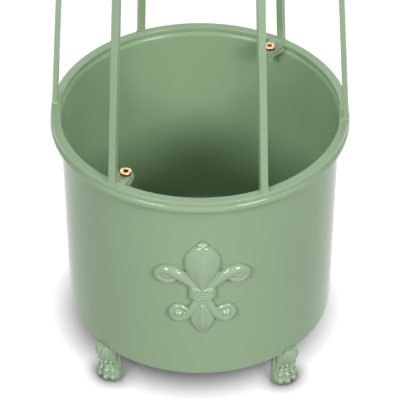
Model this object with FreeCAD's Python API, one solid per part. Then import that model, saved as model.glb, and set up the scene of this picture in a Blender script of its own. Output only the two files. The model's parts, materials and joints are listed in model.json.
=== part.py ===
"""Round metal planter on four paw feet, with a six-sided cage trellis screwed to its rim.

Millimetres, +Z up, origin on the floor at the pot's axis. The ornament faces -Y.
Azimuths are degrees from +X, turning towards +Y.
"""
import FreeCAD, Part
import os
from math import asin, cos, degrees, radians, sin, sqrt, tan

V = FreeCAD.Vector
UP = V(0, 0, 1)
ORIGIN = V(0, 0, 0)
BOW_POINTS = 9              # points that a half-round section is drawn through

# ---- pot sheet ---------------------------------------------------------------------------
RIM_RADIUS = 150.0          # outside of the rolled rim
CURL_RADIUS = 5.6           # outside of the roll's own tube
CURL_END_ANGLE = -130.0     # where the roll stops: degrees round its tube, 0 is outwards
SHEET = 1.0                 # sheet of the wall
POT_HEIGHT = 228.7          # lower edge of the wall to the top of the rolled rim
WALL_TAPER = 2.8            # how much smaller the wall's radius is at its lower edge
HEM_HEIGHT = 8.0            # lower edge of the sheet, folded in on itself
FLOOR_SHEET = 1.2
FLOOR_FLANGE = 5.0          # turned-down edge of the floor, which stands on the hem
FLOOR_GAP = 0.2             # between that edge and the wall
DRAIN_RADIUS = 5.0
DRAIN_CIRCLE = 62.0
DRAIN_COUNT = 6

# ---- feet --------------------------------------------------------------------------------
FOOT_RISE = 45.0            # floor to the lower edge of the pot
FOOT_COUNT = 4
FEET_TURN = -3.0            # how far the feet are turned from the diagonals
FOOT_FACE_SET = 9.5         # wall's lower edge in to the front of the flat back plate
FOOT_PLATE = 4.0            # thickness of that plate
FOOT_HALF_WIDTH = 15.0
PAD_LENGTH = 22.0           # how far the foot's pad reaches in under the floor
PAD_THICK = 5.0
KNEE_TOP = 1.5              # how far the knee rises above the pot's lower edge
SADDLE_GAP = 0.3            # between the foot's notch and the folded edge
FOOT_SECTIONS = (           # height, bulge from the plate's front and half width
    (0.0, 12.0, 14.4),
    (5.0, 12.6, 14.8),
    (10.0, 11.6, 14.4),
    (15.0, 9.2, 12.6),
    (20.0, 7.0, 10.2),
    (24.0, 7.6, 9.8),
    (30.0, 11.8, 11.4),
    (36.0, 15.6, 13.2),
    (42.0, 17.2, 13.9),
    (FOOT_RISE, 16.6, 13.6),
    (FOOT_RISE + KNEE_TOP, 14.4, 12.2),
)
TOE_COUNT = 4
TOE_FAN = 66.0              # degrees from straight ahead to an outer toe
TOE_TIP = (8.6, 10.6, 4.3)  # reach ahead, reach sideways, radius
TOE_KNUCKLE = (6.6, 8.2, 3.4)
KNUCKLE_HEIGHT = 12.0

# ---- screws through the floor and through the wall ---------------------------------------
FOOT_SCREW_RADIUS = 2.5
FOOT_SCREW_HEAD_RADIUS = 4.75
FOOT_SCREW_HEAD = 3.0
FOOT_SCREW_SETBACK = 11.0   # from the pad's inner end to the screw
ORNAMENT_SCREW_RADIUS = 2.0
ORNAMENT_SCREW_HEAD_RADIUS = 3.8
ORNAMENT_SCREW_HEAD = 2.4
ORNAMENT_SCREW_BITE = 4.5   # how far the thread reaches into the casting
THREAD_CLEARANCE = 0.06
HOLE_CLEARANCE = 0.35
HEAD_SEAT_GAP = 0.2         # between an ornament screw's head and the curved wall

# ---- ornament ----------------------------------------------------------------------------
ORNAMENT_TOP_DROP = 50.2    # top of the rolled rim down to the ornament's tip
ORNAMENT_MIDDLE = 59.5      # tip down to the height at which the wall's radius is taken
ORNAMENT_GAP = 0.1          # between the casting and the wall
ORNAMENT_BACK = 6.0         # how far the casting's blank reaches in behind the wall's face
ORNAMENT_SCREW_DROPS = (28.6, 98.8)     # tip down to each screw
PETAL_SECTIONS = (          # height from the tip, bulge from the wall, half width
    (-66.0, 6.3, 6.0),
    (-56.0, 6.8, 7.5),
    (-45.0, 8.1, 12.5),
    (-35.0, 9.0, 17.2),
    (-27.0, 9.0, 18.8),
    (-19.0, 8.4, 17.0),
    (-12.0, 6.8, 12.0),
    (-7.0, 4.5, 6.2),
)
DROP_SECTIONS = (
    (-119.2, 2.0, 1.2),
    (-114.0, 5.0, 6.5),
    (-107.5, 7.0, 11.0),
    (-101.5, 7.6, 12.4),
    (-93.0, 7.4, 10.4),
    (-84.0, 6.6, 7.4),
    (-74.0, 6.0, 6.2),
)
BUD_BEADS = (               # distance out from the wall, sideways, height, radius
    (1.0, 0.0, -4.4, 3.4),
    (0.6, 3.2, -6.0, 1.9),
    (0.6, -3.2, -6.0, 1.9),
    (0.8, 0.0, -1.7, 1.7),
)
UPPER_ARM = (               # sideways and height of an arm's middle line, from the collar
    (3.0, -62.0),
    (10.5, -54.0),
    (17.5, -45.5),
    (24.0, -38.5),
    (30.5, -34.2),
)
UPPER_CURL = (36.8, -42.0, 6.6, 8.8, 90.0, -150.0)  # centre, half width and height, end angles
LOWER_ARM = (
    (3.0, -74.0),
    (8.0, -83.0),
    (11.5, -92.0),
    (16.5, -98.0),
)
LOWER_CURL = (23.4, -91.8, 7.3, 7.3, -90.0, 145.0)
CURL_STEPS = 8
ARM_RADIUS = 3.9
ARM_OUT = 1.4               # middle of an arm's section, out from the wall
ARM_TANGENT_SHARE = 0.6     # part of a scroll's spread at which its arm lies along the wall
ARM_END_RADIUS = 4.4        # bead on the end of an arm
SCROLL_KNOB_RADIUS = 5.6
SCROLL_KNOB_SET = 0.9       # how far the knob's ball is set back from the arm's middle
COLLAR_HALF_WIDTH = 12.2
COLLAR_OUT = 4.6            # middle of a collar rib, out from the wall
COLLAR_RIB_RADIUS = 2.9
COLLAR_RIB_HEIGHTS = (-63.0, -68.2, -73.4)
COLLAR_CORE_INSET = 2.0

# ---- trellis -----------------------------------------------------------------------------
UPRIGHT_COUNT = 6
TRELLIS_TURN = -6.2         # azimuth of the first upright
UPRIGHT_SET = 3.8           # rim's outside in to the middle of an upright's foot
UPRIGHT_LEAN = 3.7          # inward lean, degrees
UPRIGHT_HEIGHT = 760.0
BAR_WIDTH = 7.7             # across an upright, along the rim
BAR_THICK = 5.2             # through an upright, towards the axis
BAR_EDGE = 0.6              # rounding of the bar's long edges
RING_SET = 0.7              # rim's outside in to the base ring's
RING_WIDTH = 8.65
RING_HEIGHT = 4.5
RING_EDGE = 0.7
SEAT_GAP = 0.3              # between the base ring and the top of the rolled rim
HOOP_RISES = (280.0, 520.0)  # base ring up to the underside of each hoop
HOOP_HEIGHT = 7.0
HOOP_THICK = 5.0
WELD_GAP = 0.05
CROWN_ARC = 70.0            # degrees that a crown rib turns through
COLLAR_RADIUS = 14.0
COLLAR_HEIGHT = 18.0
COLLAR_FLARE = 3.0
FINIAL_STUD_RADIUS = 4.0
FINIAL_BALL_RADIUS = 19.0
FINIAL_SEAT_RADIUS = 9.0
FINIAL_NECK_RADIUS = 7.0
FINIAL_WAIST_RADIUS = 5.0
FINIAL_NECK = 10.0
FINIAL_SPIRE_RADIUS = 4.9   # where the spire leaves the ball
FINIAL_SPIRE_TIP = 1.4      # radius of its rounded tip
FINIAL_SPIRE = 26.0
STUD_END = 2.0              # how far the stud stands out under its nut
CROWN_NUT_WIDTH = 13.0      # across the flats
CROWN_NUT_HEIGHT = 6.5

# ---- lugs and their screws ---------------------------------------------------------------
LUG_UPRIGHTS = (4, 1)       # the uprights beside which a lug stands, counted from 0
LUG_TURN = 0.5              # degrees from an upright to its lug
LUG_REACH = 14.35           # base ring's inside in to the screw
TRELLIS_LUG_END = 7.2       # radius of the trellis lug's round end
TRELLIS_LUG_ROOT = 9.0      # its half width at the ring
POT_LUG_END = 8.0
POT_LUG_ROOT = 13.0
LUG_THICK = 2.5
LUG_GAP = 0.8               # between the trellis lug and the pot lug
SCREW_RADIUS = 3.0
SCREW_LENGTH = 12.0
SCREW_HEAD_RADIUS = 5.6
SCREW_HEAD_HEIGHT = 3.6
SCREW_HEAD_EDGE = 0.8
SOCKET_WIDTH = 5.0          # across the flats
SOCKET_DEPTH = 2.2
NUT_FLANGE_RADIUS = 6.2     # rivet nut: flange on the pot lug
NUT_FLANGE = 0.7
NUT_BULGE_RADIUS = 5.6      # its upset part under the lug
NUT_BULGE = 3.0
NUT_BARREL_RADIUS = 4.4
NUT_BARREL = 9.0            # its whole length under the lug
NUT_FIT = 0.1               # between the nut and the pot lug's hole

# ---- places that follow from the sizes above ---------------------------------------------
RIM_TOP = FOOT_RISE + POT_HEIGHT
CURL_Z = RIM_TOP - CURL_RADIUS
CURL_CENTRE = RIM_RADIUS - CURL_RADIUS
WALL_TOP_RADIUS = RIM_RADIUS - 2 * CURL_RADIUS + SHEET
FLOOR_TOP = FOOT_RISE + HEM_HEIGHT + FLOOR_FLANGE
FLOOR_UNDER = FLOOR_TOP - FLOOR_SHEET
RING_LOW = RIM_TOP + SEAT_GAP
RING_TOP = RING_LOW + RING_HEIGHT
RING_OUTER_RADIUS = RIM_RADIUS - RING_SET
RING_INNER_RADIUS = RING_OUTER_RADIUS - RING_WIDTH
UPRIGHT_RADIUS = RIM_RADIUS - UPRIGHT_SET
LUG_SCREW_RADIUS = RING_INNER_RADIUS - LUG_REACH
FOOT_FACE_RADIUS = WALL_TOP_RADIUS - WALL_TAPER - FOOT_FACE_SET
SHOULDER_LOW = RING_TOP + UPRIGHT_HEIGHT
SHOULDER_TOP = SHOULDER_LOW + RING_HEIGHT
LEAN = tan(radians(UPRIGHT_LEAN))
SHOULDER_RADIUS = UPRIGHT_RADIUS - UPRIGHT_HEIGHT * LEAN
ORNAMENT_TOP = RIM_TOP - ORNAMENT_TOP_DROP
POT_LUG_TOP = RING_TOP - LUG_THICK - LUG_GAP
LUG_AZIMUTHS = [TRELLIS_TURN + 360.0 / UPRIGHT_COUNT * k + LUG_TURN for k in LUG_UPRIGHTS]


def wall_outside(z):
    """Outer radius of the tapered wall at a height."""
    share = (CURL_Z - z) / (CURL_Z - FOOT_RISE)
    return WALL_TOP_RADIUS - WALL_TAPER * share


# ---- helpers -----------------------------------------------------------------------------
def turned(shape, azimuth):
    """A copy of a shape modelled at +X, turned about the pot's axis."""
    copy = shape.copy()
    copy.rotate(ORIGIN, UP, azimuth)
    return copy


def polar(radius, angle, centre_x, centre_z):
    """A point of the XZ plane, by its radius and angle about a centre."""
    return V(centre_x + radius * cos(radians(angle)), 0, centre_z + radius * sin(radians(angle)))


def segment(start, end):
    return Part.LineSegment(start, end).toShape()


def arc(start, middle, end):
    return Part.Arc(start, middle, end).toShape()


def revolved(edges):
    """A full turn about the pot's axis of a closed outline in the XZ plane."""
    face = Part.Face(Part.Wire(edges))
    return face.revolve(ORIGIN, UP, 360)


def fused(shapes):
    whole = shapes[0]
    for shape in shapes[1:]:
        whole = whole.fuse(shape)
    return whole.removeSplitter()


def ring(inner, outer, low, high, edge):
    """A flat bar bent to a ring, with its four long edges rounded."""
    blank = Part.makeCylinder(outer, high - low, V(0, 0, low))
    bore = Part.makeCylinder(inner, high - low, V(0, 0, low))
    body = blank.cut(bore)
    rims = [e for e in body.Edges if e.BoundBox.ZLength < edge]
    return body.makeFillet(edge, rims)


def hexagon(width, low, high):
    """A hexagonal prism about the Z axis, by its width across the flats."""
    corner = width / sqrt(3)
    points = [V(corner * cos(radians(60 * k)), corner * sin(radians(60 * k)), low) for k in range(7)]
    return Part.Face(Part.makePolygon(points)).extrude(V(0, 0, high - low))


def half_round(sections, face):
    """A loft up +Z of half ellipses that bulge towards +X from a flat back at x = face.

    Each section is (height, bulge, half width).
    """
    wires = []
    for height, bulge, half in sections:
        bow = []
        for k in range(BOW_POINTS):
            angle = radians(180.0 * k / (BOW_POINTS - 1) - 90.0)
            bow.append(V(face + bulge * cos(angle), half * sin(angle), height))
        curve = Part.BSplineCurve()
        curve.interpolate(bow)
        wires.append(Part.Wire([curve.toShape(), segment(bow[-1], bow[0])]))
    return Part.makeLoft(wires, True, False)


def capsule(start, end, start_radius, end_radius):
    """Two balls and the cone between them that touches both."""
    axis = end - start
    length = axis.Length
    slope = (start_radius - end_radius) / length
    side = sqrt(1 - slope * slope)
    tilt = degrees(asin(slope))
    outline = [
        arc(V(0, 0, -start_radius), polar(start_radius, (tilt - 90.0) / 2, 0, 0),
            V(start_radius * side, 0, start_radius * slope)),
        segment(V(start_radius * side, 0, start_radius * slope),
                V(end_radius * side, 0, length + end_radius * slope)),
        arc(V(end_radius * side, 0, length + end_radius * slope),
            polar(end_radius, (tilt + 90.0) / 2, 0, length), V(0, 0, length + end_radius)),
        segment(V(0, 0, length + end_radius), V(0, 0, -start_radius)),
    ]
    body = revolved(outline)
    body.Placement = FreeCAD.Placement(start, FreeCAD.Rotation(UP, axis))
    return body


# ---- pot ---------------------------------------------------------------------------------
def pot_wall():
    """The sheet: folded lower edge, tapered wall and the rim rolled outwards."""
    low_out = wall_outside(FOOT_RISE)
    hem_top = FOOT_RISE + HEM_HEIGHT
    hem_in = wall_outside(hem_top) - 2 * SHEET
    fold = FOOT_RISE + SHEET
    outer_low = V(low_out, 0, fold)
    inner_low = V(low_out - 2 * SHEET, 0, fold)
    outer_top = V(WALL_TOP_RADIUS, 0, CURL_Z)
    inner_top = V(WALL_TOP_RADIUS - SHEET, 0, CURL_Z)
    hem_inner = V(hem_in, 0, hem_top)
    hem_outer = V(hem_in + SHEET, 0, hem_top)
    inside = CURL_RADIUS - SHEET
    roll_in = polar(inside, CURL_END_ANGLE, CURL_CENTRE, CURL_Z)
    roll_out = polar(CURL_RADIUS, CURL_END_ANGLE, CURL_CENTRE, CURL_Z)
    half_way = (180 + CURL_END_ANGLE) / 2
    return revolved([
        arc(outer_low, V(low_out - SHEET, 0, FOOT_RISE), inner_low),
        segment(inner_low, hem_inner),
        segment(hem_inner, hem_outer),
        segment(hem_outer, inner_top),
        arc(inner_top, polar(CURL_RADIUS, half_way, CURL_CENTRE, CURL_Z), roll_out),
        segment(roll_out, roll_in),
        arc(roll_in, polar(inside, half_way, CURL_CENTRE, CURL_Z), outer_top),
        segment(outer_top, outer_low),
    ])


def floor_radius():
    """Outer radius of the floor, inside the wall at the height of the hem's top."""
    return wall_outside(FLOOR_TOP - FLOOR_FLANGE) - SHEET - FLOOR_GAP


def pot_floor():
    """The floor disc, with its edge turned down onto the hem and its drain holes."""
    flange_low = FLOOR_TOP - FLOOR_FLANGE
    radius = floor_radius()
    disc = Part.makeCylinder(radius, FLOOR_FLANGE, V(0, 0, flange_low))
    hollow = Part.makeCylinder(radius - FLOOR_SHEET, FLOOR_FLANGE - FLOOR_SHEET,
                               V(0, 0, flange_low))
    tray = disc.cut(hollow)
    spots = [V(0, 0, 0)]
    for k in range(DRAIN_COUNT):
        angle = radians(360.0 * k / DRAIN_COUNT)
        spots.append(V(DRAIN_CIRCLE * cos(angle), DRAIN_CIRCLE * sin(angle), 0))
    for spot in spots:
        tray = tray.cut(Part.makeCylinder(DRAIN_RADIUS, FLOOR_FLANGE, spot + V(0, 0, flange_low)))
    for azimuth in foot_azimuths():
        hole = Part.makeCylinder(FOOT_SCREW_RADIUS + HOLE_CLEARANCE, FLOOR_FLANGE,
                                 V(foot_screw_radius(), 0, flange_low))
        tray = tray.cut(turned(hole, azimuth))
    return tray


# ---- feet --------------------------------------------------------------------------------
def foot_azimuths():
    return [FEET_TURN + 45.0 + 90.0 * k for k in range(FOOT_COUNT)]


def foot_screw_radius():
    pad_end = FOOT_FACE_RADIUS - FOOT_PLATE - PAD_LENGTH
    return pad_end + FOOT_SCREW_SETBACK


def paw_foot():
    """One cast foot at +X: flat back plate, pad under the floor, paw, ankle and knee."""
    back = FOOT_FACE_RADIUS - FOOT_PLATE
    width = 2 * FOOT_HALF_WIDTH
    plate = Part.makeBox(FOOT_PLATE, width, FLOOR_UNDER, V(back, -FOOT_HALF_WIDTH, 0))
    pad = Part.makeBox(PAD_LENGTH, width, PAD_THICK,
                       V(back - PAD_LENGTH, -FOOT_HALF_WIDTH, FLOOR_UNDER - PAD_THICK))
    relief = half_round(FOOT_SECTIONS, FOOT_FACE_RADIUS)
    tip_ahead, tip_aside, tip_radius = TOE_TIP
    knuckle_ahead, knuckle_aside, knuckle_radius = TOE_KNUCKLE
    toes = []
    for k in range(TOE_COUNT):
        angle = radians(TOE_FAN * (2.0 * k / (TOE_COUNT - 1) - 1.0))
        tip = V(FOOT_FACE_RADIUS + tip_ahead * cos(angle), tip_aside * sin(angle), tip_radius)
        knuckle = V(FOOT_FACE_RADIUS + knuckle_ahead * cos(angle), knuckle_aside * sin(angle),
                    KNUCKLE_HEIGHT)
        toes.append(capsule(tip, knuckle, tip_radius, knuckle_radius))
    foot = fused([plate, pad, relief] + toes)
    low_out = wall_outside(FOOT_RISE)
    notch_low = FOOT_RISE - SADDLE_GAP
    notch_height = FLOOR_TOP - notch_low
    outer = Part.makeCone(low_out + SADDLE_GAP, wall_outside(FLOOR_TOP) + SADDLE_GAP,
                          notch_height, V(0, 0, notch_low))
    core = Part.makeCylinder(floor_radius() - FLOOR_SHEET - SADDLE_GAP, notch_height,
                             V(0, 0, notch_low))
    foot = foot.cut(outer.cut(core))
    thread = Part.makeCylinder(FOOT_SCREW_RADIUS + THREAD_CLEARANCE, PAD_THICK,
                               V(foot_screw_radius(), 0, FLOOR_UNDER - PAD_THICK))
    return foot.cut(thread)


def foot_screws():
    """One screw per foot, from inside the pot down into the pad."""
    place = V(foot_screw_radius(), 0, 0)
    length = FLOOR_SHEET + PAD_THICK
    shank = Part.makeCylinder(FOOT_SCREW_RADIUS, length, place + V(0, 0, FLOOR_TOP - length))
    head = Part.makeCylinder(FOOT_SCREW_HEAD_RADIUS, FOOT_SCREW_HEAD, place + V(0, 0, FLOOR_TOP))
    top = [e for e in head.Edges if e.BoundBox.ZMin > FLOOR_TOP + FOOT_SCREW_HEAD / 2]
    head = head.makeFillet(FOOT_SCREW_HEAD / 3, top)
    screw = fused([shank, head])
    return Part.makeCompound([turned(screw, azimuth) for azimuth in foot_azimuths()])


# ---- ornament ----------------------------------------------------------------------------
def wall_tool():
    """The space behind the ornament: the wall's outside, and all that it encloses."""
    low = wall_outside(FOOT_RISE) + ORNAMENT_GAP
    high = wall_outside(CURL_Z) + ORNAMENT_GAP
    return Part.makeCone(low, high, CURL_Z - FOOT_RISE, V(0, 0, FOOT_RISE))


def scrolled_arm(points, curl, side):
    """One arm with its coiled end round a domed knob, laid along the wall on side +1 or -1."""
    middle, height, half_width, half_height, first, last = curl
    path = [V(0, y, z) for y, z in points]
    for k in range(CURL_STEPS + 1):
        angle = radians(first + (last - first) * k / CURL_STEPS)
        path.append(V(0, middle + half_width * cos(angle), height + half_height * sin(angle)))
    shift = middle * ARM_TANGENT_SHARE
    path = [V(0, side * (p.y - shift), p.z) for p in path]
    spine = Part.BSplineCurve()
    spine.interpolate(path)
    start = Part.Circle(path[0], spine.tangent(spine.FirstParameter)[0], ARM_RADIUS)
    tube = Part.Wire(spine.toShape()).makePipeShell([Part.Wire(start.toShape())], True, False)
    knob = Part.makeSphere(SCROLL_KNOB_RADIUS, V(-SCROLL_KNOB_SET, side * (middle - shift), height))
    whole = fused([tube, knob, Part.makeSphere(ARM_END_RADIUS, path[-1])])
    surface = ornament_surface()
    whole.translate(V(surface + ARM_OUT, 0, 0))
    whole.rotate(ORIGIN, UP, side * degrees(asin(shift / surface)))
    return whole


def ornament_surface():
    """Radius of the wall's face behind the middle of the ornament."""
    return wall_outside(ORNAMENT_TOP - ORNAMENT_MIDDLE)


def fleur_ornament():
    """A cast lily: one petal up, one down, four scrolled arms and a ribbed collar.

    It is modelled facing +X, with heights measured from its tip, and then turned to -Y.
    """
    surface = ornament_surface()
    face = surface - ORNAMENT_BACK
    petal = half_round([(z, ORNAMENT_BACK + bulge, half) for z, bulge, half in PETAL_SECTIONS], face)
    drop = half_round([(z, ORNAMENT_BACK + bulge, half) for z, bulge, half in DROP_SECTIONS], face)
    bud = [Part.makeSphere(radius, V(surface + out, aside, z)) for out, aside, z, radius in BUD_BEADS]
    end = COLLAR_HALF_WIDTH - COLLAR_RIB_RADIUS
    ribs = []
    for z in COLLAR_RIB_HEIGHTS:
        ribs.append(capsule(V(surface + COLLAR_OUT, -end, z), V(surface + COLLAR_OUT, end, z),
                            COLLAR_RIB_RADIUS, COLLAR_RIB_RADIUS))
    half = COLLAR_HALF_WIDTH - COLLAR_CORE_INSET
    low = COLLAR_RIB_HEIGHTS[-1] - COLLAR_RIB_RADIUS / 2
    high = COLLAR_RIB_HEIGHTS[0] + COLLAR_RIB_RADIUS / 2
    core = Part.makeBox(ORNAMENT_BACK + COLLAR_OUT, 2 * half, high - low, V(face, -half, low))
    arms = []
    for side in (-1, 1):
        arms.append(scrolled_arm(UPPER_ARM, UPPER_CURL, side))
        arms.append(scrolled_arm(LOWER_ARM, LOWER_CURL, side))
    casting = fused([petal, drop, core] + ribs + bud + arms)
    casting.translate(V(0, 0, ORNAMENT_TOP))
    casting = casting.cut(wall_tool())
    for height in ornament_screw_heights():
        length = ORNAMENT_SCREW_BITE + THREAD_CLEARANCE
        casting = casting.cut(Part.makeCylinder(ORNAMENT_SCREW_RADIUS + THREAD_CLEARANCE, length,
                                                V(wall_outside(height), 0, height), V(1, 0, 0)))
    return turned(casting, -90.0)


def ornament_screw_heights():
    return [ORNAMENT_TOP - drop for drop in ORNAMENT_SCREW_DROPS]


def ornament_screws():
    """Two screws from inside the pot, through the wall and into the ornament."""
    screws = []
    for height in ornament_screw_heights():
        inside = wall_outside(height) - SHEET - HEAD_SEAT_GAP
        length = wall_outside(height) + ORNAMENT_SCREW_BITE - inside
        shank = Part.makeCylinder(ORNAMENT_SCREW_RADIUS, length, V(inside, 0, height), V(1, 0, 0))
        head = Part.makeCylinder(ORNAMENT_SCREW_HEAD_RADIUS, ORNAMENT_SCREW_HEAD,
                                 V(inside - ORNAMENT_SCREW_HEAD, 0, height), V(1, 0, 0))
        screws.append(turned(fused([shank, head]), -90.0))
    return Part.makeCompound(screws)


def drilled_wall():
    """The wall with the two holes that the ornament's screws pass through."""
    wall = pot_wall()
    depth = 4 * SHEET
    for height in ornament_screw_heights():
        start = wall_outside(height) - SHEET / 2 - depth / 2
        hole = Part.makeCylinder(ORNAMENT_SCREW_RADIUS + HOLE_CLEARANCE, depth,
                                 V(start, 0, height), V(1, 0, 0))
        wall = wall.cut(turned(hole, -90.0))
    return wall


# ---- lugs, their screws and nuts ---------------------------------------------------------
def lug_plate(low, root_radius, end_radius, root_half, hole_radius):
    """A tongue at +X, round at its inner end and spread where it meets its ring or wall."""
    centre = V(LUG_SCREW_RADIUS, 0, low)
    root = RING_INNER_RADIUS + RING_WIDTH / 2
    reach = V(root - LUG_SCREW_RADIUS, root_half, 0)
    tangent = degrees(asin(end_radius / reach.Length))
    bearing = degrees(asin(reach.y / reach.Length)) + 90.0 - tangent
    touch = V(centre.x + end_radius * cos(radians(bearing)),
              end_radius * sin(radians(bearing)), low)
    mirror = V(touch.x, -touch.y, low)
    tip = V(centre.x - end_radius, 0, low)
    far_left, far_right = V(root, -root_half, low), V(root, root_half, low)
    outline = Part.Wire([arc(mirror, tip, touch), segment(touch, far_right),
                         segment(far_right, far_left), segment(far_left, mirror)])
    plate = Part.Face(outline).extrude(V(0, 0, LUG_THICK))
    plate = plate.common(Part.makeCylinder(root_radius, LUG_THICK, V(0, 0, low)))
    return plate.cut(Part.makeCylinder(hole_radius, LUG_THICK, centre))


def trellis_lug():
    """The upper tongue, flush with the base ring's top and welded to its inside."""
    return lug_plate(RING_TOP - LUG_THICK, RING_INNER_RADIUS - WELD_GAP, TRELLIS_LUG_END,
                     TRELLIS_LUG_ROOT, SCREW_RADIUS + HOLE_CLEARANCE)


def pot_lug():
    """The lower tongue, welded to the wall's inside just under the rim."""
    low = POT_LUG_TOP - LUG_THICK
    inside = wall_outside(CURL_Z) - SHEET - WELD_GAP
    return lug_plate(low, inside, POT_LUG_END, POT_LUG_ROOT, NUT_BARREL_RADIUS + NUT_FIT)


def lug_nuts():
    """The rivet nuts in the pot lugs: flange, barrel and the part that is upset under the lug."""
    under = POT_LUG_TOP - LUG_THICK
    flange = Part.makeCylinder(NUT_FLANGE_RADIUS, NUT_FLANGE, V(0, 0, POT_LUG_TOP))
    barrel = Part.makeCylinder(NUT_BARREL_RADIUS, NUT_BARREL + LUG_THICK,
                               V(0, 0, under - NUT_BARREL))
    bulge = Part.makeCylinder(NUT_BULGE_RADIUS, NUT_BULGE, V(0, 0, under - NUT_BULGE))
    rims = [e for e in bulge.Edges if e.BoundBox.ZLength < NUT_BULGE / 2]
    bulge = bulge.makeFillet(NUT_BULGE / 3, rims)
    nut = fused([flange, barrel, bulge])
    depth = NUT_FLANGE + LUG_THICK + NUT_BARREL
    nut = nut.cut(Part.makeCylinder(SCREW_RADIUS + THREAD_CLEARANCE, depth,
                                    V(0, 0, under - NUT_BARREL)))
    nut.translate(V(LUG_SCREW_RADIUS, 0, 0))
    return Part.makeCompound([turned(nut, azimuth) for azimuth in LUG_AZIMUTHS])


def lug_screw():
    """A brass button-head screw with a hexagon socket, on the trellis lug at +X."""
    shank = Part.makeCylinder(SCREW_RADIUS, SCREW_LENGTH, V(0, 0, RING_TOP - SCREW_LENGTH))
    head = Part.makeCylinder(SCREW_HEAD_RADIUS, SCREW_HEAD_HEIGHT, V(0, 0, RING_TOP))
    top = [e for e in head.Edges if e.BoundBox.ZMin > RING_TOP + SCREW_HEAD_HEIGHT / 2]
    head = head.makeFillet(SCREW_HEAD_EDGE, top)
    crest = RING_TOP + SCREW_HEAD_HEIGHT
    screw = fused([shank, head]).cut(hexagon(SOCKET_WIDTH, crest - SOCKET_DEPTH, crest))
    screw.translate(V(LUG_SCREW_RADIUS, 0, 0))
    return screw


# ---- trellis -----------------------------------------------------------------------------
def upright():
    """One leaning bar at +X, cut level at the base ring and at the shoulder ring."""
    half = BAR_THICK / 2 / cos(radians(UPRIGHT_LEAN))
    corners = [V(UPRIGHT_RADIUS - half, -BAR_WIDTH / 2, RING_TOP),
               V(UPRIGHT_RADIUS + half, -BAR_WIDTH / 2, RING_TOP),
               V(SHOULDER_RADIUS + half, -BAR_WIDTH / 2, SHOULDER_LOW),
               V(SHOULDER_RADIUS - half, -BAR_WIDTH / 2, SHOULDER_LOW)]
    bar = Part.Face(Part.makePolygon(corners + corners[:1])).extrude(V(0, BAR_WIDTH, 0))
    long_edges = [e for e in bar.Edges if e.BoundBox.ZLength > UPRIGHT_HEIGHT / 2]
    return bar.makeFillet(BAR_EDGE, long_edges)


def hoop(rise):
    """A hoop inside the uprights, touching them at its upper edge."""
    low = RING_TOP + rise
    half = BAR_THICK / 2 / cos(radians(UPRIGHT_LEAN))
    outer = UPRIGHT_RADIUS - (rise + HOOP_HEIGHT) * LEAN - half - WELD_GAP
    return ring(outer - HOOP_THICK, outer, low, low + HOOP_HEIGHT, RING_EDGE)


def crown_rib():
    """One bent bar at +X, from the shoulder ring in to the collar."""
    reach = SHOULDER_RADIUS - COLLAR_RADIUS
    bend = reach / (1 - cos(radians(CROWN_ARC)))
    corners = [V(SHOULDER_RADIUS - BAR_THICK / 2, -BAR_WIDTH / 2, SHOULDER_TOP),
               V(SHOULDER_RADIUS + BAR_THICK / 2, -BAR_WIDTH / 2, SHOULDER_TOP),
               V(SHOULDER_RADIUS + BAR_THICK / 2, BAR_WIDTH / 2, SHOULDER_TOP),
               V(SHOULDER_RADIUS - BAR_THICK / 2, BAR_WIDTH / 2, SHOULDER_TOP)]
    section = Part.Face(Part.makePolygon(corners + corners[:1]))
    pivot = V(SHOULDER_RADIUS - bend, 0, SHOULDER_TOP)
    rib = section.revolve(pivot, V(0, -1, 0), CROWN_ARC)
    keep_out = Part.makeCylinder(COLLAR_RADIUS + WELD_GAP, crown_rise() + BAR_WIDTH,
                                 V(0, 0, SHOULDER_TOP))
    return rib.cut(keep_out)


def crown_rise():
    """Height of the ribs' middle line above the shoulder ring, at the collar."""
    bend = (SHOULDER_RADIUS - COLLAR_RADIUS) / (1 - cos(radians(CROWN_ARC)))
    return bend * sin(radians(CROWN_ARC))


def collar_low():
    """Underside of the collar, which the ribs meet at its middle."""
    return SHOULDER_TOP + crown_rise() - COLLAR_HEIGHT / 2


def crown_collar():
    """The turned collar that the ribs meet, bored for the finial's stud."""
    low = collar_low()
    body = Part.makeCylinder(COLLAR_RADIUS, COLLAR_HEIGHT, V(0, 0, low))
    lip = Part.makeCylinder(COLLAR_RADIUS + COLLAR_FLARE, COLLAR_FLARE,
                            V(0, 0, low + COLLAR_HEIGHT))
    rims = [e for e in lip.Edges if e.BoundBox.ZLength < COLLAR_FLARE / 2]
    lip = lip.makeFillet(COLLAR_FLARE / 3, rims)
    body = fused([body, lip])
    height = COLLAR_HEIGHT + COLLAR_FLARE
    bore = Part.makeCylinder(FINIAL_STUD_RADIUS + THREAD_CLEARANCE, height, V(0, 0, low))
    return body.cut(bore)


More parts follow.
